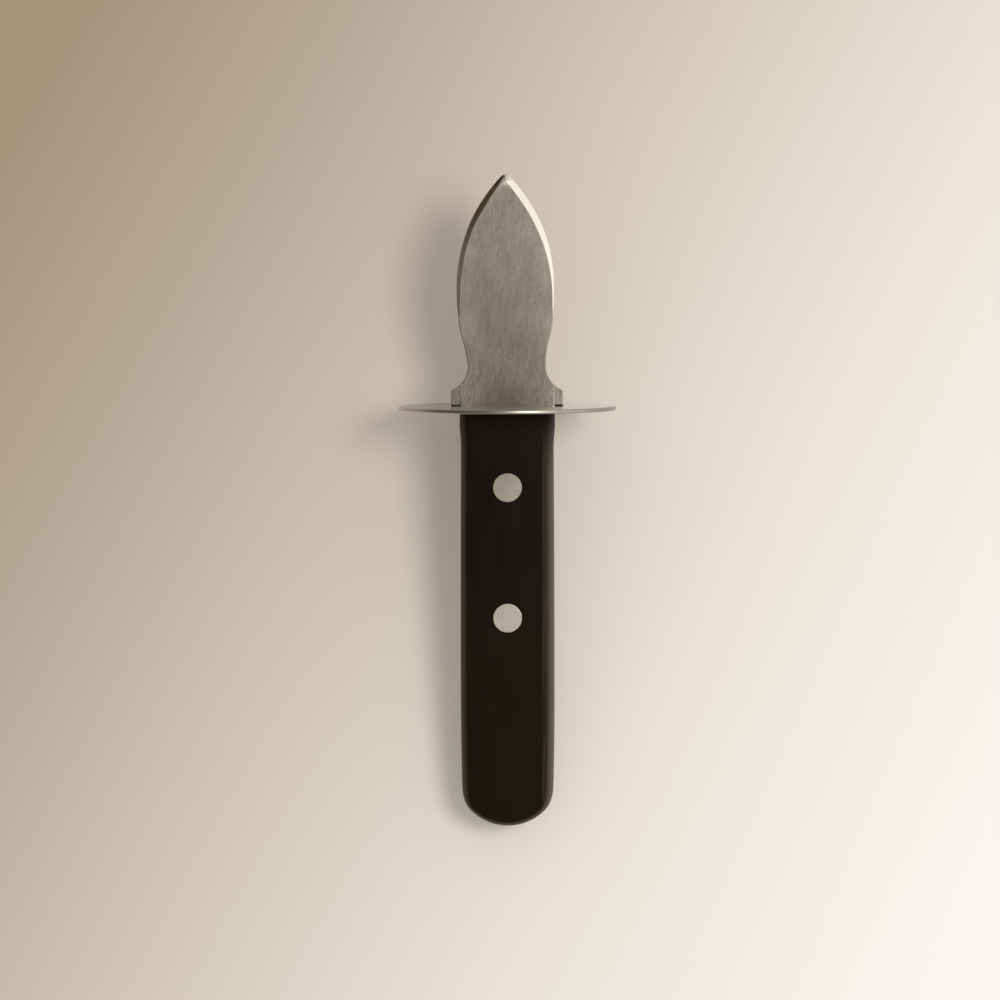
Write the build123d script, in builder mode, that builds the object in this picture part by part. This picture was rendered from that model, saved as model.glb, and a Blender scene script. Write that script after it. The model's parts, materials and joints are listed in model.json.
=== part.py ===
from build123d import *
from math import asin, atan2, degrees, hypot
import os

# A full-tang oyster knife. One flat piece of steel makes the leaf-shaped blade,
# its two ears and the tang. A round guard is threaded over the tang up to the
# ears, and two handle scales are held on the tang by two cutler's rivets.
#
# The pieces are drawn with the knife held flat: the blade points along +Y, its
# flats face +Z and -Z, and the origin is in the middle of the steel on the
# guard's front face. At the end the knife is laid down on a table, the plane
# Z = 0, where it rests on the guard's rim and on the end of the butt.

# The blade. Widths are whole widths, and heights are measured from the guard.
blade_thickness = 2.0
point_height = 57.3
tip_radius = 0.8
leaf_height = 28.0
leaf_straight = 3.0
leaf_width = 23.5
neck_height = 10.0
neck_width = 19.1
neck_turn_share = 0.33

# The ears stand out past the tang, and are coined thinner there
ear_height = 3.85
ear_overhang = 2.175
ear_corner_radius = 0.6
ear_coining = 0.22

# The flats, and the slope of the bevels ground from them down to the edges
flat_tip_height = 55.2
flat_height = 27.0
flat_width = 22.6
bevel_angle = 57.0

# The tang
tang_width = 23.1
tang_hole_clearance = 0.15

# The guard, a steel disc
guard_diameter = 53.3
guard_thickness = 1.0
guard_rim_radius = 0.3
guard_slot_clearance = 0.05

# The handle's outline. Reaches are measured from the guard towards the butt.
handle_length = 102.0
land_width = 23.34
land_reach = 4.4
waist_width = 22.74
waist_reach = 9.0
swell_width = 23.06
swell_reach = 68.0
butt_width = 22.3
butt_depth = 6.5
butt_corner_radius = 4.0

# The scales
scale_thickness = 6.0
scale_edge_radius = 2.0
scale_hole_clearance = 0.1
head_seat_clearance = 0.05

# The rivets. Each is a tube with its head below and a pin with its head above.
rivet_reaches = {"front": 18.7, "rear": 50.7}
rivet_head_diameter = 7.0
rivet_head_thickness = 1.2
tube_diameter = 4.6
tube_end_gap = 0.4
pin_diameter = 3.0
pin_clearance = 0.05
pin_end_gap = 0.6
pin_chamfer = 0.4

# Sizes that follow
half_steel = blade_thickness / 2
half_handle = half_steel + scale_thickness
ear_width = tang_width + 2 * ear_overhang
handle_plane = Plane((0, -guard_thickness, 0))
rivet_places = {name: -guard_thickness - reach for name, reach in rivet_reaches.items()}
tube_hole_radius = tube_diameter / 2 + scale_hole_clearance
head_seat_radius = rivet_head_diameter / 2 + head_seat_clearance
head_underside = half_handle - rivet_head_thickness
knife = []

# The handle's outline, shared by the tang and both scales: a wider land against
# the guard, a waist, a long swell and a rounded butt
with BuildSketch(handle_plane) as handle_outline:
    with BuildLine():
        land = (land_width / 2, -land_reach)
        waist = (waist_width / 2, -waist_reach)
        swell = (swell_width / 2, -swell_reach)
        corner = (butt_width / 2, butt_depth - handle_length)
        Polyline((0, 0), (land_width / 2, 0), land)
        TangentArc(waist, land, tangent=(0, 1))
        TangentArc(swell, waist, tangent=(0, 1))
        TangentArc(swell, corner, tangent=(0, -1))
        mirror(about=Plane.YZ)
        ThreePointArc(corner, (0, -handle_length), (-butt_width / 2, butt_depth - handle_length))
    make_face()
    fillet(handle_outline.vertices().group_by(Axis.Y)[0], radius=butt_corner_radius)

# Blade, ears and tang. The upper half of the steel is shaped and then mirrored.
with BuildPart() as blade:
    # The outline from the ears to the point: the edges swing out from the neck
    # to the widest part of the leaf, run straight there and curve in to the tip
    with BuildSketch() as leaf_outline:
        with BuildLine():
            ear = (ear_width / 2, ear_height)
            neck = (neck_width / 2, neck_height)
            leaf_low = (leaf_width / 2, leaf_height - leaf_straight / 2)
            leaf_high = (leaf_width / 2, leaf_height + leaf_straight / 2)
            turn = (
                neck[0] + (leaf_low[0] - neck[0]) * neck_turn_share,
                neck[1] + (leaf_low[1] - neck[1]) * neck_turn_share,
            )
            Polyline((0, 0), (ear_width / 2, 0), ear)
            TangentArc(neck, ear, tangent=(0, -1))
            TangentArc(neck, turn, tangent=(0, 1))
            TangentArc(leaf_low, turn, tangent=(0, -1))
            Line(leaf_low, leaf_high)
            TangentArc(leaf_high, (0, point_height), tangent=(0, 1))
            mirror(about=Plane.YZ)
        make_face()
        fillet(leaf_outline.vertices().group_by(Axis.Y)[-1], radius=tip_radius)
        fillet(leaf_outline.vertices().group_by(Axis.Y)[1], radius=ear_corner_radius)
    extrude(amount=half_steel)

    # The bevels: what the grinding leaves is a leaf that widens at a steady
    # slope from the flat down to the middle of the steel. It clears the ears.
    with BuildSketch(Plane.XY.offset(half_steel)) as flat_outline:
        with BuildLine():
            flat = (flat_width / 2, flat_height)
            flat_low = (flat_width / 2, neck_height)
            Polyline((0, 0), (ear_width, 0), (ear_width, neck_height), flat_low, flat)
            TangentArc(flat, (0, flat_tip_height), tangent=(0, 1))
            mirror(about=Plane.YZ)
        make_face()
    extrude(amount=-half_steel, taper=-bevel_angle, mode=Mode.INTERSECT)

    # The ears stand back from the flat, from the tang's sides outwards
    with BuildSketch(Plane.XY.offset(half_steel)):
        Rectangle(ear_width, neck_height, align=(Align.CENTER, Align.MIN))
        Rectangle(tang_width, neck_height, align=(Align.CENTER, Align.MIN), mode=Mode.SUBTRACT)
    extrude(amount=-ear_coining, mode=Mode.SUBTRACT)

    # The tang passes the guard at its own width and then follows the handle
    with BuildSketch() as tang_outline:
        add(handle_outline.sketch)
        Rectangle(tang_width, guard_thickness, align=(Align.CENTER, Align.MAX))
        Rectangle(
            tang_width,
            guard_thickness + handle_length,
            align=(Align.CENTER, Align.MAX),
            mode=Mode.INTERSECT,
        )
    extrude(amount=half_steel)
    mirror(about=Plane.XY)
    with Locations(*[(0, place, half_steel) for place in rivet_places.values()]):
        Hole(radius=tube_diameter / 2 + tang_hole_clearance)
blade.part.label = "blade"
knife.append(blade)

# Guard: a disc with rounded rims and a slot for the tang
with BuildPart() as guard:
    with BuildSketch(Plane.XZ) as guard_face:
        Circle(guard_diameter / 2)
        Rectangle(
            tang_width + 2 * guard_slot_clearance,
            blade_thickness + 2 * guard_slot_clearance,
            mode=Mode.SUBTRACT,
        )
    extrude(amount=guard_thickness)
    rims = guard.edges().filter_by(GeomType.CIRCLE)
    fillet(rims, radius=guard_rim_radius)
guard.part.label = "guard"
knife.append(guard)

# Upper scale: rounded along its sides and round the butt, square at the guard,
# with a stepped hole for each rivet
with BuildPart() as upper_scale:
    with BuildSketch(Plane.XY.offset(half_steel)):
        add(handle_outline.sketch)
    extrude(amount=scale_thickness)
    outer_edges = upper_scale.edges().group_by(Axis.Z)[-1]
    fillet(outer_edges.sort_by(Axis.Y)[:-1], radius=scale_edge_radius)
    with Locations(*[(0, place, half_handle) for place in rivet_places.values()]):
        CounterBoreHole(
            radius=tube_hole_radius,
            counter_bore_radius=head_seat_radius,
            counter_bore_depth=rivet_head_thickness,
        )
upper_scale.part.label = "upper_scale"
knife.append(upper_scale)

# Lower scale: the same, the other way up
with BuildPart() as lower_scale:
    mirror(upper_scale.part, about=Plane.XY)
lower_scale.part.label = "lower_scale"
knife.append(lower_scale)

# Rivets: the pin's shank stands in the tube's bore, and the heads sit flush in
# their seats, so that the two halves clamp the scales on the tang
for name, place in rivet_places.items():
    with BuildPart() as rivet_tube:
        with BuildSketch(Plane((0, place, -half_handle))):
            Circle(rivet_head_diameter / 2)
        extrude(amount=rivet_head_thickness)
        with BuildSketch(Plane((0, place, -head_underside))):
            Circle(tube_diameter / 2)
            Circle(pin_diameter / 2 + pin_clearance, mode=Mode.SUBTRACT)
        extrude(amount=2 * head_underside - tube_end_gap)
    rivet_tube.part.label = f"{name}_rivet_tube"
    knife.append(rivet_tube)

    with BuildPart() as rivet_pin:
        with BuildSketch(Plane((0, place, half_handle))):
            Circle(rivet_head_diameter / 2)
        extrude(amount=-rivet_head_thickness)
        with BuildSketch(Plane((0, place, head_underside))):
            Circle(pin_diameter / 2)
        extrude(amount=pin_end_gap - 2 * head_underside)
        shank_end = rivet_pin.edges().group_by(Axis.Z)[0]
        chamfer(shank_end, length=pin_chamfer)
    rivet_pin.part.label = f"{name}_rivet_pin"
    knife.append(rivet_pin)

# The knife at rest: seen from the side, the table touches the rounding of the
# guard's rear rim and the rounding of the butt. The tilt turns the line between
# the two rounding centres until both touch the table.
rim_centre = (-guard_thickness + guard_rim_radius, -guard_diameter / 2 + guard_rim_radius)
butt_centre = (
    -guard_thickness - handle_length + scale_edge_radius,
    -half_handle + scale_edge_radius,
)
run = rim_centre[0] - butt_centre[0]
drop = butt_centre[1] - rim_centre[1]
rounding_step = guard_rim_radius - scale_edge_radius
tilt = degrees(atan2(drop, run) + asin(rounding_step / hypot(run, drop)))
for piece in knife:
    piece.part.move(Location((0, 0, 0), (tilt, 0, 0)))

# The origin lies on the table, under the middle of the knife
boxes = [piece.part.bounding_box() for piece in knife]
table = min(box.min.Z for box in boxes)
middle = (min(box.min.Y for box in boxes) + max(box.max.Y for box in boxes)) / 2

os.makedirs("parts", exist_ok=True)
for piece in knife:
    piece.part.move(Location((0, -middle, -table)))
    export_step(piece.part, f"parts/{piece.part.label}.step")
print(f"tilt {tilt:.3f} degrees, table at {table:.3f}, middle at {middle:.3f}")
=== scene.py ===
import json
import math

import bmesh
import bpy
from mathutils import Matrix, Vector
from mathutils.geometry import delaunay_2d_cdt
from mathutils.kdtree import KDTree


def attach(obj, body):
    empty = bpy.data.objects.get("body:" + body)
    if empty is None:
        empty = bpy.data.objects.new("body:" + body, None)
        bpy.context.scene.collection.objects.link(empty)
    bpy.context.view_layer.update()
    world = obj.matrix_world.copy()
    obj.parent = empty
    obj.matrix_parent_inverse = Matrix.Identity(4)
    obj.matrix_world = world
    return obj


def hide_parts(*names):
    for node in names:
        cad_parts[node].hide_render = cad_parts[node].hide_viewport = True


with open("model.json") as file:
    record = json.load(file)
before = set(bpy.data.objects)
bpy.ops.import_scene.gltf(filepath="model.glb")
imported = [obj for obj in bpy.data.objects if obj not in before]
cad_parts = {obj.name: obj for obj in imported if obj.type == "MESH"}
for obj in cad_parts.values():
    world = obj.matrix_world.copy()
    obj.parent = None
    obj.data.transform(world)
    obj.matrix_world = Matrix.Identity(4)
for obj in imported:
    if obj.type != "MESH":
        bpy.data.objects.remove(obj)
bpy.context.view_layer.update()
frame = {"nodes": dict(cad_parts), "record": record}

# Blade. The blade, its two ears and the tang are one piece of 2 mm stainless steel, blanked from
# sheet. Both faces are ground to a bevel round the leaf, the flats are belted lengthwise, and a
# punch has thinned the ears. The tang runs through the guard and the handle to the butt.

# Sizes are millimetres on the knife held flat: +Y points to the tip, +Z out of the upper face, and
# the origin is in the middle of the steel on the guard's front face. Places are (x, y), and a pair
# of heights says where a change starts and where it is complete.
mm = 0.001
half_steel = 1.0
guard_thickness = 1.0
tang_half_width = 11.55
ear_half_width = 13.725
ear_height = 3.85
ear_coining = 0.22
coining_width = 0.25
neck = (9.55, 10.0)
turn = (10.276, 15.445)
leaf_low = (11.75, 26.5)
leaf_high = (11.75, 29.5)
point_height = 57.3
flat_half_width = 11.3
flat_height = 27.0
flat_tip_height = 55.2
bevel_run = math.tan(math.radians(57.0))
edge_half_thickness = 0.05
tip_facet_height = 53.2
tip_facet_lean = 0.35
tip_facet_blend = 2.4
tip_facet_slope = 0.12
fuller_belly = 0.55
wider_right_bevel = 0.35
right_bevel_heights = (22, 42)
wider_belly_bevel = 0.4
belly_bevel_foot = (20, 24)
belly_bevel_top = (44, 34)
narrower_tip_bevel = 0.6
tip_bevel_heights = (49, 55)
blade_drift = 0.12
blade_drift_heights = (0, 15)
tip_drift = 0.3
tip_drift_heights = (40, 57)
side_fade = 8
bevel_fade = 1.1
belly_bevel_fade = 0.45
edge_radius = 0.21
edge_share = 0.7
bevel_edge_width = 0.12
point_softening = 1.8
ear_softening = 0.41
butt_softening = 3.2
butt = (0.0, -103.0)
butt_corner = (11.15, -96.5)
swell = (11.53, -69.0)
waist = (11.37, -10.0)
land_low = (11.67, -5.4)
land_high = (11.67, -guard_thickness)
rivet_places = (-19.7, -51.7)
tang_hole_radius = 2.45
join_gap = 0.001

# The knife lies tilted on its guard and its butt, as the handle's two faces say in the record
faces = {mount["name"]: Vector(mount["pos_m"]) for mount in frame["record"]["mounts"]}
upper_face = faces["upper_scale_face"]
lower_face = faces["lower_scale_face"]
up = (upper_face - lower_face).normalized()
across = Vector((1.0, 0.0, 0.0))
along = up.cross(across)
handle_middle = (upper_face + lower_face) / 2
guard_points = frame["nodes"]["guard"].data.vertices
guard_front = max((point.co - handle_middle).dot(along) for point in guard_points)
knife_origin = handle_middle + along * guard_front
knife_turn = Matrix((across, along, up)).transposed()
knife_lie = Matrix.LocRotScale(knife_origin, knife_turn, Vector((mm, mm, mm)))


def arc(start, heading, end, steps):
    """Points after start on the arc that leaves start along heading and ends at end."""
    start = Vector(start)
    chord = Vector(end) - start
    side = Vector((-heading[1], heading[0]))
    centre = start + side * (chord.length_squared / (2 * side.dot(chord)))
    first = start - centre
    last = Vector(end) - centre
    sweep = math.atan2(first.cross(last), first.dot(last))
    return [centre + Matrix.Rotation(sweep * n / steps, 2) @ first for n in range(1, steps + 1)]


def arc_back(start, heading, end, steps):
    """The same arc walked from end to start, without end itself."""
    return arc(start, heading, end, steps)[-2::-1] + [Vector(start)]


def mirrored(side):
    """The closed loop whose right side starts and ends on the middle line."""
    return side + [Vector((-point.x, point.y)) for point in reversed(side[1:-1])]


def walk(line, reach):
    """The point that far along a line, its heading there and the number of the next point."""
    for n in range(1, len(line)):
        step = line[n] - line[n - 1]
        if step.length >= reach:
            return line[n - 1] + step.normalized() * reach, step.normalized(), n
        reach -= step.length


def soften(loop, corner, reach, steps=8):
    """Rounds off a corner of the loop, from that far before it to that far after it."""
    at = min(range(len(loop)), key=lambda n: (loop[n] - Vector(corner)).length)
    loop = loop[at:] + loop[:at]
    near, ahead, first = walk(loop, reach)
    far, behind, last = walk([loop[0]] + loop[:0:-1], reach)
    control = near + ahead * ((far - near).cross(behind) / ahead.cross(behind))
    curve = []
    for n in range(steps + 1):
        share = n / steps
        curve.append(far * (1 - share) ** 2 + control * 2 * share * (1 - share) + near * share**2)
    return curve + loop[first : len(loop) - last + 1]


def inset(loop, depths):
    """The loop with each point moved inwards by its own depth."""
    moved = []
    for n, point in enumerate(loop):
        before = (point - loop[n - 1]).normalized()
        after = (loop[(n + 1) % len(loop)] - point).normalized()
        inward = Vector((-before.y - after.y, before.x + after.x))
        moved.append(point + inward * (depths[n] / (1 + before.dot(after))))
    return moved


def ring(place, radius, sides=64):
    """A round loop about a place on the knife's middle line."""
    turns = [2 * math.pi * n / sides for n in range(sides)]
    return [Vector((radius * math.cos(a), place + radius * math.sin(a))) for a in turns]


def fill(loops, seams=(), dots=(), holes=()):
    """Triangles inside the first loop, with the other loops and the seams as edges. A hole is
    (place, radius) on the middle line."""
    # A ring's sides are chords, so a thin triangle beside a hole can reach inside its radius
    least_away = 0.997
    points = list(loops[0])
    edges = []
    for closed, lines in ((True, loops[1:]), (False, seams)):
        for line in lines:
            first = len(points)
            points += line
            edges += [(n, n + 1) for n in range(first, len(points) - 1)]
            if closed:
                edges.append((len(points) - 1, first))
    points += dots
    outline = list(range(len(loops[0])))
    filled = delaunay_2d_cdt(points, edges, [outline], 0, 1e-5, True)
    points = filled[0]
    kept = []
    for triangle, sources in zip(filled[2], filled[5]):
        centre = sum((points[n] for n in triangle), Vector((0.0, 0.0))) / 3
        away = []
        for place, radius in holes:
            away.append((centre - Vector((0.0, place))).length > least_away * radius)
        if sources and all(away):
            kept.append(triangle)
    return points, kept


def solid(name, patches, mark, shift=None):
    """Joins patches of points and faces, in millimetres, into one closed piece where the knife
    lies. Each corner of a face keeps what mark says of the face's middle and the corner, and each
    point is then shifted to the right."""
    shape = bmesh.new()
    for points, patch_faces in patches:
        corners = [shape.verts.new(point) for point in points]
        for face in patch_faces:
            shape.faces.new([corners[n] for n in face])
    bmesh.ops.remove_doubles(shape, verts=shape.verts, dist=join_gap)
    bmesh.ops.dissolve_degenerate(shape, edges=shape.edges, dist=join_gap / 2)
    loose = [corner for corner in shape.verts if not corner.link_faces]
    bmesh.ops.delete(shape, geom=loose, context="VERTS")
    bmesh.ops.recalc_face_normals(shape, faces=shape.faces)
    crease(shape)
    mesh = bpy.data.meshes.new(name)
    shape.to_mesh(mesh)
    shape.free()
    marks = mesh.attributes.new("mark", "FLOAT", "CORNER")
    for face in mesh.polygons:
        for n in face.loop_indices:
            corner = mesh.vertices[mesh.loops[n].vertex_index].co
            marks.data[n].value = mark(face.center, corner)
    if shift:
        for point in mesh.vertices:
            point.co.x += shift(point.co)
    mesh.transform(knife_lie)
    piece = bpy.data.objects.new(name, mesh)
    bpy.context.scene.collection.objects.link(piece)
    return piece


def crease(shape, sharpest=0.2, level=0.99999):
    """Smooth shading, broken wherever two faces meet at more than the sharpest angle in radians.
    Level faces stay flat."""
    for face in shape.faces:
        face.smooth = abs(face.normal.z) < level
    for edge in shape.edges:
        edge.smooth = len(edge.link_faces) == 2 and edge.calc_face_angle() < sharpest


# The handle's right side, from the butt to the guard, which the tang and both scales follow
handle_side = [Vector(butt)]
handle_side += arc(butt, (1, 0), butt_corner, 24)
handle_side += arc_back(swell, (0, -1), butt_corner, 36)
handle_side += arc(swell, (0, 1), waist, 60)
handle_side += arc(waist, (0, 1), land_low, 10)
handle_side += [Vector(land_low).lerp(Vector(land_high), n / 8) for n in range(1, 9)]

# The steel's right side goes on past the guard, round the ear and up the leaf to the point
steel_side = [Vector((min(point.x, tang_half_width), point.y)) for point in handle_side]
steel_side += [Vector((tang_half_width, 0.0))]
steel_side += [Vector((ear_half_width, 0.0)), Vector((ear_half_width, ear_height))]
steel_side += arc_back(neck, (0, -1), (ear_half_width, ear_height), 20)
steel_side += arc(neck, (0, 1), turn, 12)
steel_side += arc_back(leaf_low, (0, -1), turn, 24)
steel_side += [Vector(leaf_low).lerp(Vector(leaf_high), n / 6) for n in range(1, 7)]
steel_side += arc(leaf_high, (0, 1), (0.0, point_height), 80)
steel_loop = mirrored(steel_side)
steel_loop = soften(steel_loop, (0.0, point_height), point_softening)
for side in (1, -1):
    steel_loop = soften(steel_loop, (side * ear_half_width, ear_height), ear_softening)
for side in (1, -1):
    steel_loop = soften(steel_loop, (side * butt_corner[0], butt_corner[1]), butt_softening, 16)

# The flat's edge is a straight line up to flat_height and an arc from there to the flat's tip
flat_rise = flat_tip_height - flat_height
flat_arc_radius = (flat_half_width**2 + flat_rise**2) / (2 * flat_half_width)


def held(value):
    """The value held between 0 and 1."""
    return min(1.0, max(0.0, value))


def between(value, start, end):
    """0 before start, 1 past end and the share of the way in between. End may be below start."""
    return held((value - start) / (end - start))


def beyond_flat(point):
    """How far a point of the leaf lies outside the edge of the flat."""
    if point.y < flat_height:
        return abs(point.x) - flat_half_width
    run = abs(point.x) + flat_arc_radius - flat_half_width
    return math.hypot(run, point.y - flat_height) - flat_arc_radius


def steel_top(point):
    """Height of the upper face over the middle of the steel, before the edges are rounded."""
    if point.y < neck[1]:
        outside = (abs(point.x) - tang_half_width) / coining_width + 0.5
        return half_steel - (ear_coining * held(outside) if point.y >= 0 else 0)
    run = max(0, beyond_flat(point))
    fall = max(0, point.y - tip_facet_height + point.x * tip_facet_lean)
    if fall < tip_facet_blend:
        fall = fall**2 / (2 * tip_facet_blend)
    else:
        fall = fall - tip_facet_blend / 2
    ground_off = math.hypot(run / bevel_run, fall * tip_facet_slope)
    return max(edge_half_thickness, half_steel - ground_off)


steel_edge = KDTree(len(steel_loop))
for n, point in enumerate(steel_loop):
    steel_edge.insert(point.to_3d(), n)
steel_edge.balance()
steel_edge_radii = [min(edge_radius, edge_share * steel_top(point)) for point in steel_loop]


def rounded_top(point):
    """Height of the upper face over the middle of the steel, with its edges rounded."""
    n = steel_edge.find(point.to_3d())[1]
    depth = 1e9
    for first, last in ((n - 1, n), (n, (n + 1) % len(steel_loop))):
        step = steel_loop[last] - steel_loop[first]
        share = held((point - steel_loop[first]).dot(step) / step.length_squared)
        depth = min(depth, (point - steel_loop[first] - step * share).length)
    radius = steel_edge_radii[n]
    inner = max(0, 1 - depth / radius)
    return steel_top(point) - radius * (1 - math.sqrt(1 - inner**2))


# Seams of the flat: the bevel's upper edge on both sides, the ridge at the tip, the coined ears
seams = []
for shift in (0.0, bevel_edge_width):
    wide = flat_half_width + shift
    start = next(point for point in steel_side if point.y > neck[1] and point.x > wide)
    radius = flat_arc_radius + shift
    centre = flat_half_width - flat_arc_radius
    sweep = math.acos(-centre / radius)
    side = [Vector((wide, start.y)), Vector((wide, flat_height))]
    for n in range(1, 71):
        bend = sweep * n / 70
        x = centre + radius * math.cos(bend)
        side.append(Vector((x, flat_height + radius * math.sin(bend))))
    side[-1].x = 0.0
    seams.append(side + [Vector((-point.x, point.y)) for point in reversed(side[:-1])])
tip = max(point.y for point in steel_loop)
seams.append([Vector((0.0, flat_tip_height)), Vector((0.0, tip - edge_radius))])
for side in (1, -1):
    for shift in (-0.5, 0.5):
        x = tang_half_width + shift * coining_width
        flare = [point for point in steel_side if neck[1] > point.y > ear_height and point.x > x]
        seams.append([Vector((side * x, 0.0)), Vector((side * x, flare[-1].y))])

# A fine grid of points carries the small facet where the flat is ground down to the tip
dot_pitch = 0.2
first_dots = 0.8
facet_dots = []
for row in range(22):
    y = tip_facet_height - first_dots + dot_pitch * row
    for column in range(-14, 15):
        dot = Vector((dot_pitch * column, y))
        if column and beyond_flat(dot) < 6 * dot_pitch:
            facet_dots.append(dot)

tang_holes = [(place, tang_hole_radius) for place in rivet_places]
steel_rings = [steel_loop]
for share in (0.3, 1.0):
    steel_rings.append(inset(steel_loop, [share * radius for radius in steel_edge_radii]))
hole_rings = [ring(place, radius) for place, radius in tang_holes]
points, triangles = fill(steel_rings + hole_rings, seams, facet_dots, tang_holes)
count = len(points)


def hand_ground(point):
    """How far to the right of its drawn place the grinder left a point. The left belly is a little
    fuller, the right bevel a little wider, the left one wider by the belly and narrower by the
    tip, and the whole blade drifts to the left, the tip the most."""
    rise = between(point.y, neck[1], point_height)
    on_left = between(point.x, 0, -side_fade)
    left = fuller_belly * math.sin(math.pi * rise**0.7) * on_left
    if point.y > neck[1]:
        inside = between(beyond_flat(point), bevel_fade, 0)
        share = inside * between(point.x, 0, 3)
        left += wider_right_bevel * between(point.y, *right_bevel_heights) * share
        share = inside * between(point.x, 0, -0.8)
        left += narrower_tip_bevel * between(point.y, *tip_bevel_heights) * share
        share = between(beyond_flat(point), belly_bevel_fade, 0) * on_left
        share *= between(point.y, *belly_bevel_foot)
        left -= wider_belly_bevel * between(point.y, *belly_bevel_top) * share
    left += blade_drift * between(point.y, *blade_drift_heights)
    left += tip_drift * between(point.y, *tip_drift_heights)
    return -left


steel_points = [Vector((point.x, point.y, rounded_top(point))) for point in points]
steel_points += [Vector((point.x, point.y, -point.z)) for point in steel_points]
steel_faces = list(triangles)
steel_faces += [[n + count for n in reversed(triangle)] for triangle in triangles]
directed = {(face[n - 1], face[n]) for face in triangles for n in range(3)}
rims = [(a, b) for a, b in directed if (b, a) not in directed]
steel_faces += [(b, a, a + count, b + count) for a, b in rims]


def ground(middle, corner):
    """1 on the bevels, which are ground with a finer wheel, and 0 on the flats and the tang."""
    return between(beyond_flat(corner), 0, bevel_edge_width) if middle.y > neck[1] else 0.0


blade = solid("blade_steel_piece", [(steel_points, steel_faces)], ground, hand_ground)


class Wire:
    """An output of a node. Sums with it add Math nodes, and node() adds any other kind of node."""

    def __init__(self, tree, socket=None):
        self.tree = tree
        self.socket = socket

    def node(self, kind, settings=None, sockets=None, output=0):
        """Adds a node, makes its settings, then fills its sockets with values or wires."""
        new = self.tree.nodes.new(kind)
        for name, value in (settings or {}).items():
            if name == "stops":
                stops = new.color_ramp.elements
                while len(stops) < len(value):
                    stops.new(1.0)
                for stop, (place, colour) in zip(stops, value):
                    stop.position = place
                    stop.color = (*colour, 1.0)
            elif name == "items":
                for _ in range(value):
                    new.index_switch_items.new()
            else:
                setattr(new, name, value)
        for name, value in (sockets or {}).items():
            if isinstance(name, int):
                socket = new.inputs[name]
            else:
                socket = next(s for s in new.inputs if s.enabled and s.name == name)
            if isinstance(value, Wire):
                self.tree.links.new(value.socket, socket)
            else:
                socket.default_value = value
        outputs = [s for s in new.outputs if s.enabled]
        if isinstance(output, str):
            return Wire(self.tree, next(s for s in outputs if s.name == output))
        return Wire(self.tree, outputs[output] if outputs else None)

    def maths(self, operation, *terms):
        """Adds a Math node."""
        return self.node("ShaderNodeMath", {"operation": operation}, dict(enumerate(terms)))

    def __add__(self, other):
        return self.maths("ADD", self, other)

    def __radd__(self, other):
        return self.maths("ADD", other, self)

    def __sub__(self, other):
        return self.maths("SUBTRACT", self, other)

    def __rsub__(self, other):
        return self.maths("SUBTRACT", other, self)

    def __mul__(self, other):
        return self.maths("MULTIPLY", self, other)

    def __rmul__(self, other):
        return self.maths("MULTIPLY", other, self)

    def __truediv__(self, other):
        return self.maths("DIVIDE", self, other)

    def __rtruediv__(self, other):
        return self.maths("DIVIDE", other, self)

    def __mod__(self, other):
        return self.maths("FLOORED_MODULO", self, other)

    def __rmod__(self, other):
        return self.maths("FLOORED_MODULO", other, self)

    def __abs__(self):
        return self.maths("ABSOLUTE", self)

    def root(self):
        """The square root of the value."""
        return self.maths("SQRT", self)

    def clamped(self):
        """The value held between 0 and 1."""
        return self.maths("MINIMUM", self.maths("MAXIMUM", self, 0.0), 1.0)

    def between(self, start, end):
        """0 before start, 1 past end and the share of the way in between."""
        return ((self - start) / (end - start)).clamped()

    def axis(self, letter):
        """The X, Y or Z of the vector."""
        return self.node("ShaderNodeSeparateXYZ", {}, {"Vector": self}, letter)

    def mix(self, first, second, kind="MIX"):
        """A colour between first and second, with this wire as the share of second."""
        settings = {"data_type": "RGBA", "blend_type": kind, "clamp_factor": True}
        values = {"Factor": self}
        for name, colour in (("A", first), ("B", second)):
            values[name] = colour if isinstance(colour, Wire) else (*colour, 1.0)
        return self.node("ShaderNodeMix", settings, values)

    def noise(self, size, detail=2.0, roughness=0.5, shift=0.0):
        """Noise on this wire's coordinates, with grains of the given (x, y, z) size."""
        stretch = {0: self, 1: tuple(1 / grain for grain in size), 2: (shift, shift, shift)}
        grain = self.node("ShaderNodeVectorMath", {"operation": "MULTIPLY_ADD"}, stretch)
        values = {"Vector": grain, "Scale": 1.0, "Detail": detail, "Roughness": roughness}
        return self.node("ShaderNodeTexNoise", {}, values)


def finish(name):
    """A new material, and millimetres on the flat knife as its coordinates."""
    material = bpy.data.materials.new(name)
    material.use_nodes = True
    material.node_tree.nodes.clear()
    bench = Wire(material.node_tree)
    level = knife_turn.transposed()
    mapping = {
        "Vector": bench.node("ShaderNodeTexCoord", output="Object"),
        "Location": tuple(level @ knife_origin / -mm),
        "Rotation": tuple(level.to_euler()),
        "Scale": (1 / mm, 1 / mm, 1 / mm),
    }
    return material, bench.node("ShaderNodeMapping", {}, mapping)


def surface(material, values, height, depth):
    """Ends a material in its shader, with bumps as deep as depth in millimetres."""
    bench = Wire(material.node_tree)
    bump = {"Strength": 1.0, "Distance": depth * mm, "Height": height}
    values["Normal"] = bench.node("ShaderNodeBump", {}, bump)
    shader = bench.node("ShaderNodeBsdfPrincipled", {}, values)
    bench.node("ShaderNodeOutputMaterial", {}, {"Surface": shader})


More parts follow.
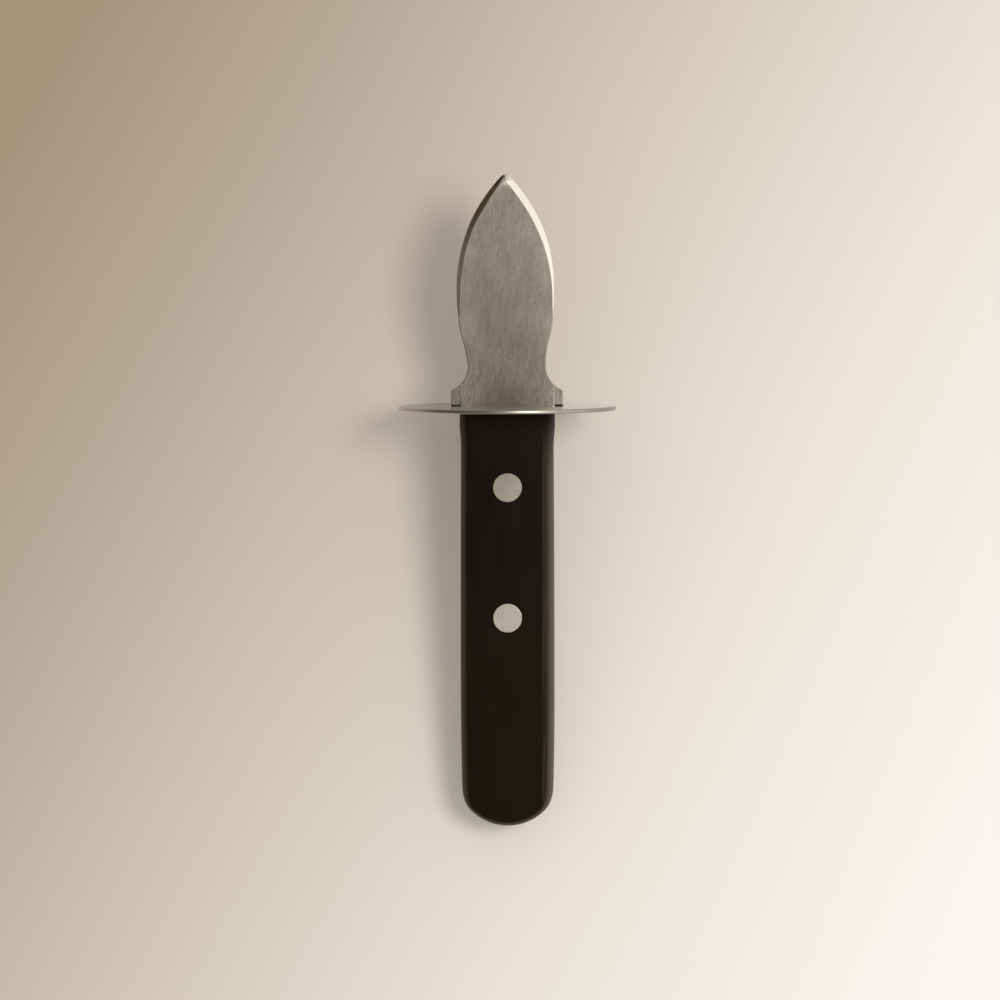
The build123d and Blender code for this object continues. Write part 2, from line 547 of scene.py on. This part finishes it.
# Satin steel: fine belt lines that run a little slanted and are coarser by the guard, broad soft
# streaks, small dark pits and bright specks. Painted shade darkens the middle and the part towards
# the guard, and a browner painted shade and reflection of the guard lies close to it. The bevels
# are smoother and brighter, and a dark painted shade fills the gap where the ears meet the guard.
belt_slant = math.radians(6.0)
coarse_heights = (18.0, 8.0)
shaded_half_width = 9.49
blade_guard_shade_heights = (6.5, 0.5)
under_ear_start = 11.576
under_ear_end = 11.747
under_ear_top = 0.45
dull_tip_heights = (54.0, 55.5)
blade_finish, steel_place = finish("ground_blade_steel")
steel_x = steel_place.axis("X")
height_up = steel_place.axis("Y")
slant = {"Vector": steel_place, "Angle": belt_slant}
slanted = steel_place.node("ShaderNodeVectorRotate", {"rotation_type": "Z_AXIS"}, slant)
lines = slanted.noise((0.21, 1.7, 3.0), 3.0, 0.65)
streaks = slanted.noise((1.1, 7.0, 3.0), 2.0, 0.5, 3.0)
clouds = steel_place.noise((5.0, 8.0, 5.0), 3.0, 0.55, 7.0)
pits = steel_place.noise((0.40, 0.60, 0.50), 2.0, 0.5, 11.0).between(0.66, 0.7314)
specks = steel_place.noise((0.35, 0.50, 0.50), 2.0, 0.5, 17.0).between(0.67, 0.7414)
on_bevel = steel_place.node("ShaderNodeAttribute", {"attribute_name": "mark"}, output="Fac")
coarser = height_up.between(*coarse_heights) * ((lines - 0.5) * 1.0 + (streaks - 0.5) * 0.4)
tone = (lines * 1.5 + streaks * 0.5 + clouds - 1.0 + coarser).clamped()
steel_colour = tone.mix((0.286, 0.262, 0.220), (0.460, 0.427, 0.366))
off_middle = steel_x / shaded_half_width
middle = 1 - off_middle * off_middle
# Painted shade: darker along the middle and towards the guard.
painted_shade = (middle * 0.50 + (30 - height_up) / 60.0).clamped() * (0.6 + clouds * 0.8)
steel_colour = painted_shade.clamped().mix(steel_colour, (0.64, 0.62, 0.58), "MULTIPLY")
# Painted shade and reflection of the guard, browner, close to it.
blade_guard_shade = height_up.between(*blade_guard_shade_heights) * (0.35 + clouds * 0.9)
steel_colour = (blade_guard_shade * middle).clamped().mix(steel_colour, (0.70, 0.66, 0.59), "MULTIPLY")
steel_colour = (pits * 0.6).mix(steel_colour, (0.62, 0.60, 0.57), "MULTIPLY")
steel_colour = (specks * 0.5).mix(steel_colour, (0.66, 0.64, 0.58))
steel_colour = on_bevel.mix(steel_colour, (0.84, 0.80, 0.72))
# Painted shade in the gap under the ears, with a ragged edge.
ragged_gap_edge = (lines - 0.5) * 4.0 + (clouds - 0.5) * 3.0
painted_gap_shade = ((under_ear_top - height_up) * 5.0 + ragged_gap_edge).clamped()
painted_gap_shade = painted_gap_shade * abs(steel_x).between(under_ear_start, under_ear_end)
steel_colour = painted_gap_shade.mix(steel_colour, (0.015, 0.011, 0.008))
on_tip = height_up.between(*dull_tip_heights)
steel_colour = (on_tip * (1 - on_bevel)).mix(steel_colour, (0.70, 0.68, 0.66), "MULTIPLY")

# Painted shade darkens the left bevel towards the tip and ends in a thin hook over it, which
# narrows as it climbs. The very point and the part right of the hook are darkened by painted shade
# too.
hook_foot = 54.2
hook_width = 1.65
hook_taper = 0.18
hook_line = 58.0
dark_bevel_heights = (38.5, 47.5)
tip_heights = (53.8, 54.4)
dark_point_heights = (56.45, 56.75)
tip_shade_heights = (54.9, 55.6)
hook_reach = hook_width - (height_up - hook_foot) * hook_taper
hook = ((hook_reach - (steel_x - height_up + hook_line)) / 0.2).clamped()
near_tip = height_up.between(*tip_heights)
on_left = on_bevel * steel_x.between(-0.5, -0.8) * (1 - near_tip * (1 - hook))
painted_bevel_shade = on_left * height_up.between(*dark_bevel_heights)
steel_colour = painted_bevel_shade.mix(steel_colour, (0.53, 0.45, 0.30), "MULTIPLY")
painted_bevel_shade = (on_left * near_tip + height_up.between(*dark_point_heights) * 0.6).clamped()
steel_colour = painted_bevel_shade.mix(steel_colour, (0.36, 0.29, 0.30), "MULTIPLY")
painted_tip_shade = height_up.between(*tip_shade_heights) * steel_x.between(-0.65, -0.45)
painted_tip_shade = painted_tip_shade * (1 - steel_x.between(-0.45, 0.75) * 0.55)
steel_colour = painted_tip_shade.mix(steel_colour, (0.48, 0.47, 0.50), "MULTIPLY")

# The left ear is darkened by painted shade, and its coined step is painted lighter away from the
# guard, a painted light over its dark reflection.
left_ear_shade = steel_x.between(-11.8, -12.1) * height_up.between(4.2, 3.7)
steel_colour = left_ear_shade.mix(steel_colour, (0.83, 0.82, 0.82), "MULTIPLY")
painted_step_light = abs(steel_x + tang_half_width).between(coining_width, coining_width - 0.1)
painted_step_light = painted_step_light * height_up.between(1.2, 2.4) * height_up.between(5.5, 5.0)
steel_colour = painted_step_light.mix(steel_colour, (0.55, 0.52, 0.46))
steel_roughness = 0.18 + (1 - on_bevel) * (lines * 0.05 + clouds * 0.04) + on_tip * 0.3
steel_values = {"Base Color": steel_colour, "Metallic": 1.0, "Roughness": steel_roughness}
surface(blade_finish, steel_values, (lines + streaks * 0.5) * (1 - on_bevel * 0.7), 0.003)
blade.data.materials.append(blade_finish)
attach(blade, "root")
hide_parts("blade")

# Guard. A disc punched from 1 mm steel sheet, tumbled so that its rims are round, and polished.
# Its slot passes over the tang, and it is held between the ears and the ends of the scales.
guard_radius = 26.65
guard_rim_radius = 0.32
slot_width = 23.2
slot_height = 2.1
slot_cutter_depth = 8.0
guard_sides = 192


def turned_body(bench, profile, sides):
    """Nodes for a closed round body about Z. Its profile is rows of (radius, height)."""
    grid = {"Size X": 1.0, "Size Y": 1.0, "Vertices X": sides + 1, "Vertices Y": len(profile)}
    sheet = bench.node("GeometryNodeMeshGrid", {}, grid)
    index = bench.node("GeometryNodeInputIndex")
    row = index % len(profile)
    bend = (index - row) * (2 * math.pi / sides / len(profile))
    picked = []
    for part in (0, 1):
        rows = {"Index": row}
        for n, step in enumerate(profile):
            rows[str(n)] = step[part]
        settings = {"data_type": "FLOAT", "items": len(profile) - 2}
        picked.append(bench.node("GeometryNodeIndexSwitch", settings, rows))
    radius, height = picked
    x = radius * bench.maths("COSINE", bend)
    y = radius * bench.maths("SINE", bend)
    spot = bench.node("ShaderNodeCombineXYZ", {}, {"X": x, "Y": y, "Z": height})
    body = bench.node("GeometryNodeSetPosition", {}, {"Geometry": sheet, "Position": spot})
    return bench.node("GeometryNodeMergeByDistance", {}, {"Geometry": body, "Distance": join_gap})


def made_by_rule(name, sizes, rule, material, turned=Matrix.Identity(4)):
    """The plain piece that a geometry tree with named sizes, in millimetres, makes by its rule."""
    tree = bpy.data.node_groups.new(name + "_rule", "GeometryNodeTree")
    tree.interface.new_socket("Geometry", in_out="OUTPUT", socket_type="NodeSocketGeometry")
    named = {}
    for size in sizes:
        named[size] = tree.interface.new_socket(size, socket_type="NodeSocketFloat")
    sockets = tree.nodes.new("NodeGroupInput").outputs
    bench = Wire(tree)
    body = rule(bench, {size: Wire(tree, sockets[size]) for size in sizes})
    whole = bench.node("GeometryNodeRealizeInstances", {}, {"Geometry": body})
    painted = {"Geometry": whole, "Material": material}
    painted = bench.node("GeometryNodeSetMaterial", {}, painted)
    bench.node("NodeGroupOutput", {}, {"Geometry": painted})
    piece = bpy.data.objects.new(name, bpy.data.meshes.new(name + "_blank"))
    bpy.context.scene.collection.objects.link(piece)
    modifier = piece.modifiers.new("rule", "NODES")
    modifier.node_group = tree
    for size, socket in named.items():
        modifier[socket.identifier] = float(sizes[size])
    ready = piece.evaluated_get(bpy.context.evaluated_depsgraph_get())
    mesh = bpy.data.meshes.new_from_object(ready)
    piece.modifiers.clear()
    piece.data = mesh
    mesh.name = name
    shape = bmesh.new()
    shape.from_mesh(mesh)
    bmesh.ops.recalc_face_normals(shape, faces=shape.faces)
    crease(shape)
    shape.to_mesh(mesh)
    shape.free()
    mesh.transform(knife_lie @ turned)
    return piece


def guard_rule(bench, sizes):
    """A flat disc with rounded rims, front face at height 0, less the slot for the tang."""
    profile = [(0.0, 0.0)]
    for share in (0.35, 0.7, 0.93):
        profile.append((sizes["radius"] * share, 0.0))
    for n in range(10):
        bend = math.pi / 18 * n
        out = sizes["radius"] - sizes["rim"] * (1 - math.sin(bend))
        profile.append((out, sizes["rim"] * (1 - math.cos(bend))))
    profile += [(out, sizes["thickness"] - height) for out, height in reversed(profile)]
    disc = turned_body(bench, profile, guard_sides)
    width = {"X": sizes["slot width"], "Y": sizes["slot height"], "Z": slot_cutter_depth}
    size = bench.node("ShaderNodeCombineXYZ", {}, width)
    cutter = bench.node("GeometryNodeMeshCube", {}, {"Size": size})
    settings = {"operation": "DIFFERENCE", "solver": "EXACT"}
    return bench.node("GeometryNodeMeshBoolean", settings, {"Mesh 1": disc, "Mesh 2": cutter})


# Polished sheet: faint rolling lines across the disc and soft clouds. It is painted brighter to the
# right, where the light falls, and darker to the left, a painted shade. Its tumbled rim is duller
# than its faces, and the rim's colour is painted darker in the middle, where its highlight falls,
# and lighter on the left.
dull_rim_width = 0.4
dull_rim_fade = 0.1667
guard_finish, guard_place = finish("polished_guard_steel")
roll = guard_place.noise((7.0, 3.0, 0.18), 3.0, 0.6)
dull = guard_place.noise((4.0, 4.0, 4.0), 3.0, 0.55, 5.0)
guard_x = guard_place.axis("X")
guard_z = guard_place.axis("Z")
guard_out = (guard_x * guard_x + guard_z * guard_z).root()
# Painted light: brighter to the right, darker to the left.
guard_tone_and_light = guard_x / 45.0 + roll * 0.3 + dull * 0.3 + 0.2
guard_colour = guard_tone_and_light.clamped().mix((0.42, 0.415, 0.465), (0.93, 0.94, 0.98))
rim_start = guard_radius - dull_rim_width
on_rim = guard_out.between(rim_start, rim_start + dull_rim_fade)
# Painted shade on the rim's middle, where its highlight falls, and painted light on its left.
rim_side = abs(guard_x - 5.0).between(0.0, 25.0)
rim_colour_and_shade = rim_side.mix((0.29, 0.274, 0.24), (0.40, 0.378, 0.345))
rim_colour_and_shade = guard_x.between(-5.0, -20.0).mix(rim_colour_and_shade, (0.60, 0.58, 0.57))
guard_colour = on_rim.mix(guard_colour, rim_colour_and_shade)
guard_roughness = 0.18 + dull * 0.10 + on_rim * 0.12
guard_values = {"Base Color": guard_colour, "Metallic": 1.0, "Roughness": guard_roughness}
surface(guard_finish, guard_values, roll + dull, 0.004)
guard_sizes = {
    "radius": guard_radius,
    "rim": guard_rim_radius,
    "thickness": guard_thickness,
    "slot width": slot_width,
    "slot height": slot_height,
}
upright = Matrix.Rotation(math.pi / 2, 4, "X")
guard = made_by_rule("guard_disc", guard_sizes, guard_rule, guard_finish, upright)
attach(guard, "root")
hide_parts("guard")

# Handle scales. Two slabs of black plastic, one on each face of the tang, routed round their
# outer edge with a cutter. Round the butt the rounding is narrower on the upper scale and a little
# wider on the lower, and a painted sheen lies on it, brightest along the right side.
half_handle = (upper_face - lower_face).length / 2 / mm
round_reach = 1.75
round_reach_at_butt = {1: 1.05, -1: 1.9}
butt_reach_end = -99.5
side_reach_start = -94.5
round_start = math.radians(20.0)
round_left = 1 - math.sin(round_start)
round_steps = 12
guard_end_reach = 0.12
joint_chamfer = 0.1
head_seat_radius = 3.55
head_seat_depth = 1.2
seat_chamfer = 0.08
scale_hole_radius = 2.4
edge_sheen_fade = 1.8

scale_loop = mirrored(handle_side + [Vector((0.0, -guard_thickness))])
for side in (1, -1):
    scale_loop = soften(scale_loop, (side * butt_corner[0], butt_corner[1]), butt_softening, 16)


def reach_at(point, side):
    """How far the rounding reaches in from the handle's side at a point of its outline."""
    at_butt = round_reach_at_butt[side]
    return at_butt + (round_reach - at_butt) * between(point.y, butt_reach_end, side_reach_start)


def scale_level(side, share, drop):
    """The outline inset by a share of its rounding, as a loop at its height above the steel."""
    loop = inset(scale_loop, [reach_at(point, side) * share for point in scale_loop])
    level = []
    for before, point in zip(scale_loop, loop):
        if before.y > -guard_thickness - join_gap:
            point.y = -guard_thickness - guard_end_reach * share
        level.append(Vector((point.x, point.y, half_handle - reach_at(before, side) * drop)))
    return level


def skin(loops):
    """Quads between loops of equal length, each joined to the next."""
    size = len(loops[0])
    points = [point for loop in loops for point in loop]
    quads = []
    for level in range(len(loops) - 1):
        for n in range(size):
            a = level * size + n
            b = level * size + (n + 1) % size
            quads.append((a, b, b + size, a + size))
    return points, quads


def at_height(loop, height):
    """A loop of flat points lifted to one height."""
    return [Vector((point.x, point.y, height)) for point in loop]


def scale_body(side):
    """Patches of the upper scale, side 1, or of the lower one, side -1."""
    joint_loop = inset(scale_loop, [joint_chamfer] * len(scale_loop))
    levels = [at_height(joint_loop, half_steel)]
    levels.append(at_height(scale_loop, half_steel + joint_chamfer))
    for n in range(round_steps + 1):
        bend = math.pi / 2 + (round_start - math.pi / 2) * n / round_steps
        share = (1 - math.sin(bend)) / round_left
        drop = (math.cos(round_start) - math.cos(bend)) / round_left
        levels.append(scale_level(side, share, drop))
    patches = [skin(levels)]
    seat_floor = half_handle - head_seat_depth
    for place in rivet_places:
        seat = [
            at_height(ring(place, scale_hole_radius), half_steel),
            at_height(ring(place, scale_hole_radius), seat_floor),
            at_height(ring(place, head_seat_radius), seat_floor),
            at_height(ring(place, head_seat_radius), half_handle - seat_chamfer),
            at_height(ring(place, head_seat_radius + seat_chamfer), half_handle),
        ]
        patches.append(skin(seat))
    for loop, radius, height in (
        (levels[0], scale_hole_radius, half_steel),
        (levels[-1], head_seat_radius + seat_chamfer, half_handle),
    ):
        outline = [point.to_2d() for point in loop]
        holes = [(place, radius) for place in rivet_places]
        points, triangles = fill([outline] + [ring(*hole) for hole in holes], holes=holes)
        patches.append((at_height(points, height), triangles))
    return [([Vector((p.x, p.y, side * p.z)) for p in points], faces) for points, faces in patches]


def worn(middle, corner):
    """How far down a scale's rounding the corner is, from 0 at the face to 1 at the side."""
    if abs(middle.z) > half_handle - join_gap:
        return 0.0
    return held((half_handle - abs(corner.z)) / reach_at(corner, 1 if middle.z > 0 else -1))


# Satin black plastic: a faint moulded grain, soft rubbed patches and a few fine scuffs. A painted
# sheen lies along the right side of the face, with a thin line that wanders, and a painted
# reflection on the rounding, brighter on the right and most where it turns down. Close behind the
# guard both carry the guard's painted shadow, most on the right. The face grows a little lighter
# towards the right and the butt. Each pair says where a change starts and where it is complete,
# across the handle or along it.
sheen_side = (8.3, 9.9)
sheen_start = (-3.0, -13.0)
line_place = 8.05
line_wander = 1.6
line_half_width = 0.35
guard_shadow_part = (-17.0, 0.0)
brown_butt = (-97.0, -101.0)
handle_finish, handle_place = finish("black_handle_plastic")
handle_x = handle_place.axis("X")
handle_y = handle_place.axis("Y")
handle_z = handle_place.axis("Z")
grain = handle_place.noise((0.35, 0.35, 0.35), 3.0, 0.6)
rubbed = handle_place.noise((6.0, 16.0, 6.0), 3.0, 0.5, 4.0)
scuffs = handle_place.noise((0.5, 7.0, 2.0), 2.0, 0.6, 9.0).between(0.65, 0.8167)
on_edge = handle_place.node("ShaderNodeAttribute", {"attribute_name": "mark"}, output="Fac")
handle_tone = rubbed * 0.8 + scuffs * 0.3 + handle_x / 50.0 + handle_y.between(-35.0, -65.0) * 0.5
handle_colour = handle_tone.clamped().mix((0.0030, 0.0014, 0.0003), (0.0078, 0.0050, 0.0018))
# A painted sheen along the right side of the face, with a thin wandering line.
wander = handle_place.noise((60.0, 18.0, 60.0), 1.0, 0.5, 13.0)
sheen_line = abs(handle_x - line_place - wander * line_wander).between(line_half_width, 0.0)
sheen_line = sheen_line * handle_place.noise((60.0, 22.0, 60.0), 1.0, 0.5, 21.0).between(0.3, 0.55)
glow = 0.8 - handle_y.between(-50.0, -80.0) * 0.3
painted_side_sheen = handle_x.between(*sheen_side) * glow + sheen_line * 0.5
painted_side_sheen = painted_side_sheen * on_edge.between(0.05, 0.0) * handle_y.between(*sheen_start)
handle_colour = painted_side_sheen.clamped().mix(handle_colour, (0.050, 0.040, 0.034))
# A painted reflection on the rounding, brighter on the right and where it turns down.
on_right = handle_x.between(-5.0, 5.0)
edge_sheen_colour = on_right.mix((0.084, 0.067, 0.051), (0.150, 0.125, 0.112))
edge_sheen_colour = handle_y.between(*brown_butt).mix(edge_sheen_colour, (0.110, 0.088, 0.060))
down_side = half_handle - round_reach - abs(handle_z)
bend_cosine = math.cos(round_start) - on_edge * round_left
bend_sine = (1 - bend_cosine * bend_cosine).root()
turned_down = (bend_sine - math.sin(round_start)) / round_left
edge_sheen = on_right * 0.2 + turned_down * (1 - on_right * 0.2)
edge_sheen = edge_sheen * on_edge.between(0.0, 0.0167) * (0.6 + grain * 0.3 + rubbed * 0.5)
# The guard's painted shadow takes the sheen off close behind it, most on the right.
guard_shadow = handle_y.between(*guard_shadow_part) * (0.05 + on_right * 0.9)
edge_sheen = edge_sheen * down_side.between(edge_sheen_fade, 0.0) * (1 - guard_shadow)
handle_colour = edge_sheen.clamped().mix(handle_colour, edge_sheen_colour)
handle_roughness = 0.30 + rubbed * 0.08 + grain * 0.04
handle_values = {"Base Color": handle_colour, "Roughness": handle_roughness}
handle_values["Specular IOR Level"] = 0.06
surface(handle_finish, handle_values, grain, 0.006)
for name, side in (("upper_scale", 1), ("lower_scale", -1)):
    scale = solid(name + "_slab", scale_body(side), worn)
    scale.data.materials.append(handle_finish)
    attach(scale, "root")
    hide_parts(name)

# Rivets. Two cutler's rivets clamp the scales on the tang. Each is a tube with its head below and
# a pin with its head above, pressed together and then ground flush with the plastic.
rivet_sizes = {
    "face": half_handle,
    "head radius": 3.5,
    "head thickness": 1.2,
    "head edge": 0.04,
    "first place": rivet_places[0],
    "spacing": rivet_places[1] - rivet_places[0],
}
pin_sizes = rivet_sizes | {"shank radius": 1.5, "shank end": -5.2, "chamfer": 0.4}
tube_sizes = rivet_sizes | {"shank radius": 2.3, "shank end": 5.4, "bore radius": 1.55}
rivet_sides = 96


def head_rows(sizes, face, inward):
    """Profile rows of a rivet head from its face's middle to its underside."""
    radius = sizes["head radius"]
    edge = sizes["head edge"]
    rows = [(0.0, face), (radius * 0.5, face), (radius - edge, face)]
    for n in range(1, 5):
        bend = math.pi / 8 * n
        out = radius - edge * (1 - math.sin(bend))
        rows.append((out, face + edge * (inward * (1 - math.cos(bend)))))
    rows.append((radius, face + sizes["head thickness"] * inward))
    return rows


def at_both_places(bench, sizes, body):
    """The body at the front and the rear rivet."""
    start = bench.node("ShaderNodeCombineXYZ", {}, {"Y": sizes["first place"]})
    step = bench.node("ShaderNodeCombineXYZ", {}, {"Y": sizes["spacing"]})
    line = {"Count": 2, "Start Location": start, "Offset": step}
    line = bench.node("GeometryNodeMeshLine", {}, line)
    return bench.node("GeometryNodeInstanceOnPoints", {}, {"Points": line, "Instance": body})


def pin_rule(bench, sizes):
    """Pins: a head above, and a shank that stands in the tube's bore."""
    shank = sizes["shank radius"]
    end = sizes["shank end"]
    rows = head_rows(sizes, sizes["face"], -1)
    rows.append((shank, sizes["face"] - sizes["head thickness"]))
    rows.append((shank, end + sizes["chamfer"]))
    rows += [(shank - sizes["chamfer"], end), (0.0, end)]
    return at_both_places(bench, sizes, turned_body(bench, rows, rivet_sides))


def tube_rule(bench, sizes):
    """Tubes: a head below, and a shank bored for the pin."""
    lowest = 0 - sizes["face"]
    inside = lowest + sizes["head thickness"]
    rows = head_rows(sizes, lowest, 1)
    rows += [(sizes["shank radius"], inside), (sizes["shank radius"], sizes["shank end"])]
    rows += [(sizes["bore radius"], sizes["shank end"]), (sizes["bore radius"], inside)]
    rows.append((0.0, inside))
    return at_both_places(bench, sizes, turned_body(bench, rows, rivet_sides))


# Nickel-bright rivet metal, belted with the handle: short fine scratches in two directions. The
# rear heads are brighter, and all heads brighten a little towards their lower right.
rivet_finish, rivet_place = finish("flush_rivet_metal")
head_x = rivet_place.axis("X")
head_y = rivet_place.axis("Y")
scratches = rivet_place.noise((0.10, 1.6, 2.0), 3.0, 0.65, 2.0)
crossed = rivet_place.noise((1.3, 0.12, 2.0), 3.0, 0.65, 5.0)
bloom = rivet_place.noise((2.2, 2.6, 2.2), 2.0, 0.5, 8.0)
rivet_tone = (scratches * 0.5 + crossed * 0.35 + bloom * 0.7 - 0.25).clamped()
is_rear = rivet_place.maths("LESS_THAN", head_y, sum(rivet_places) / 2)
head_up = head_y - rivet_places[0] - is_rear * (rivet_places[1] - rivet_places[0])
rivet_tone = rivet_tone * 0.5 + is_rear * 0.75 + (head_x - head_up) * 0.03
rivet_colour = rivet_tone.clamped().mix((0.26, 0.239, 0.208), (0.502, 0.474, 0.425))
rivet_values = {"Base Color": rivet_colour, "Metallic": 1.0, "Roughness": 0.26 + scratches * 0.10}
surface(rivet_finish, rivet_values, scratches + crossed, 0.003)
pins = made_by_rule("rivet_pins", pin_sizes, pin_rule, rivet_finish)
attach(pins, "root")
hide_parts("front_rivet_pin", "rear_rivet_pin")
tubes = made_by_rule("rivet_tubes", tube_sizes, tube_rule, rivet_finish)
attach(tubes, "root")
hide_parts("front_rivet_tube", "rear_rivet_tube")

# Table top. A wide sheet of warm pale paper on which the knife rests, with painted shade that
# darkens it towards the upper left. It isn't part of the knife.
table_half = 1.6
far_colour = (0.74, 0.695, 0.62)
paper_length = 0.32
far_reach = (0.185, 0.385)
dim_reach = (-0.1, -0.4)
table_mesh = bpy.data.meshes.new("table_sheet")
corners = [(x * table_half, y * table_half, 0.0) for x, y in ((-1, -1), (1, -1), (1, 1), (-1, 1))]
table_mesh.from_pydata(corners, [], [(0, 1, 2, 3)])
table = bpy.data.objects.new("table_sheet", table_mesh)
bpy.context.scene.collection.objects.link(table)
paper = bpy.data.materials.new("pale_paper")
paper.use_nodes = True
paper.node_tree.nodes.clear()
bench = Wire(paper.node_tree)
paper_place = bench.node("ShaderNodeTexCoord", output="Object")
paper_x = paper_place.axis("X")
paper_y = paper_place.axis("Y")
paper_run = (paper_x * 0.87 - paper_y * 0.5) / paper_length + 0.5
paper_shade_stops = [
    (0.0, (0.388, 0.310, 0.218)),
    (0.2, (0.488, 0.410, 0.332)),
    (0.45, (0.670, 0.605, 0.515)),
    (0.68, (0.812, 0.778, 0.702)),
    (1.0, (0.915, 0.905, 0.905)),
]
paper_colour = bench.node("ShaderNodeValToRGB", {"stops": paper_shade_stops}, {"Fac": paper_run})
paper_out = (paper_x * paper_x + paper_y * paper_y).root()
far = paper_out.between(*far_reach)
paper_colour = far.mix(paper_colour, far_colour)
paper_sheen = {"Base Color": paper_colour, "Roughness": 0.9, "Specular IOR Level": 0.1}
paper_skin = bench.node("ShaderNodeBsdfPrincipled", {}, paper_sheen)
looked_at = bench.node("ShaderNodeLightPath", output="Is Camera Ray")
mirrored_in = bench.node("ShaderNodeLightPath", output="Is Glossy Ray")
# In reflections the far left of the paper is a painted dark reflection. Seen by the camera and in
# reflections the paper also glows in its own colour, a quarter of it by the knife, which lightens
# the knife's shadow, and all of it far out.
painted_dark_reflection = mirrored_in * far * paper_x.between(*dim_reach)
glow_colour = painted_dark_reflection.mix(paper_colour, (0.16, 0.145, 0.12))
paper_glow = bench.node("ShaderNodeEmission", {}, {"Color": glow_colour, "Strength": 1.0})
glow_share = (looked_at + mirrored_in).clamped() * (0.25 + far * 0.75)
paper_mix = bench.node("ShaderNodeMixShader", {}, {0: glow_share, 1: paper_skin, 2: paper_glow})
bench.node("ShaderNodeOutputMaterial", {}, {"Surface": paper_mix})
table_mesh.materials.append(paper)

# Light. One soft box above and to the upper right, and a room that is bright on the right and dim
# on the left, as the knife's bevels show.
softbox_way = Vector((0.39, -0.03, 1.0)).normalized()
softbox_distance = 1.25
softbox_diameter = 0.45
softbox_power = 8.2
lamp = bpy.data.lights.new("softbox", "AREA")
lamp.shape = "DISK"
lamp.size = softbox_diameter
lamp.energy = softbox_power
lamp.color = (1.0, 0.97, 0.91)
softbox = bpy.data.objects.new("softbox", lamp)
softbox.location = softbox_way * softbox_distance
softbox.rotation_euler = softbox_way.to_track_quat("Z", "Y").to_euler()
softbox.visible_camera = False
bpy.context.scene.collection.objects.link(softbox)

room = bpy.data.worlds.new("room")
bpy.context.scene.world = room
room.use_nodes = True
room.node_tree.nodes.clear()
bench = Wire(room.node_tree)
way = bench.node("ShaderNodeTexCoord", output="Generated")
way_x = way.axis("X")
way_y = way.axis("Y")
way_z = way.axis("Z")
room_stops = [
    (0.0, (0.075, 0.062, 0.048)),
    (0.25, (0.16, 0.145, 0.12)),
    (0.5, (0.42, 0.40, 0.36)),
    (0.75, (0.92, 0.89, 0.83)),
    (1.0, (1.28, 1.24, 1.16)),
]
room_side = way_x * 0.5 + 0.5 + way_y * way_y * 0.15
mirrored_room = bench.node("ShaderNodeValToRGB", {"stops": room_stops}, {"Fac": room_side})
ceiling_stops = [(0.0, (0.235, 0.23, 0.225)), (1.0, (0.68, 0.665, 0.65))]
ceiling = bench.node("ShaderNodeValToRGB", {"stops": ceiling_stops}, {"Fac": way_z.clamped()})
in_shine = bench.node("ShaderNodeLightPath", output="Is Glossy Ray")
room_colour = in_shine.mix(ceiling, mirrored_room)
room_light = bench.node("ShaderNodeBackground", {}, {"Color": room_colour, "Strength": 1.0})
room_seen = bench.node("ShaderNodeBackground", {}, {"Color": (*far_colour, 1.0)})
seen = bench.node("ShaderNodeLightPath", output="Is Camera Ray")
room_mix = bench.node("ShaderNodeMixShader", {}, {0: seen, 1: room_light, 2: room_seen})
bench.node("ShaderNodeOutputWorld", {}, {"Surface": room_mix})

# Camera, one metre above the knife and a little towards its butt as the knife lies
look_at = Vector((-1.81, -23.14, 0.0))
camera_distance = 1000.0
camera_lean = math.radians(3.5)
camera_roll = math.radians(-0.10)
camera_way = Vector((0.0, math.sin(camera_lean), math.cos(camera_lean)))
camera_spot = look_at + camera_way * camera_distance
lens = bpy.data.cameras.new("photo_camera")
lens.sensor_width = 36.0
lens.lens = 146.3
lens.clip_start = 0.01
camera = bpy.data.objects.new("photo_camera", lens)
right = Vector((0.0, 1.0, 0.0)).cross(camera_way).normalized()
camera_turn = Matrix((right, camera_way.cross(right), camera_way)).transposed()
camera_turn = knife_turn @ camera_turn @ Matrix.Rotation(camera_roll, 3, "Z")
camera.matrix_world = Matrix.Translation(knife_lie @ camera_spot) @ camera_turn.to_4x4()
bpy.context.scene.collection.objects.link(camera)
bpy.context.scene.camera = camera
bpy.context.scene.view_settings.view_transform = "Standard"
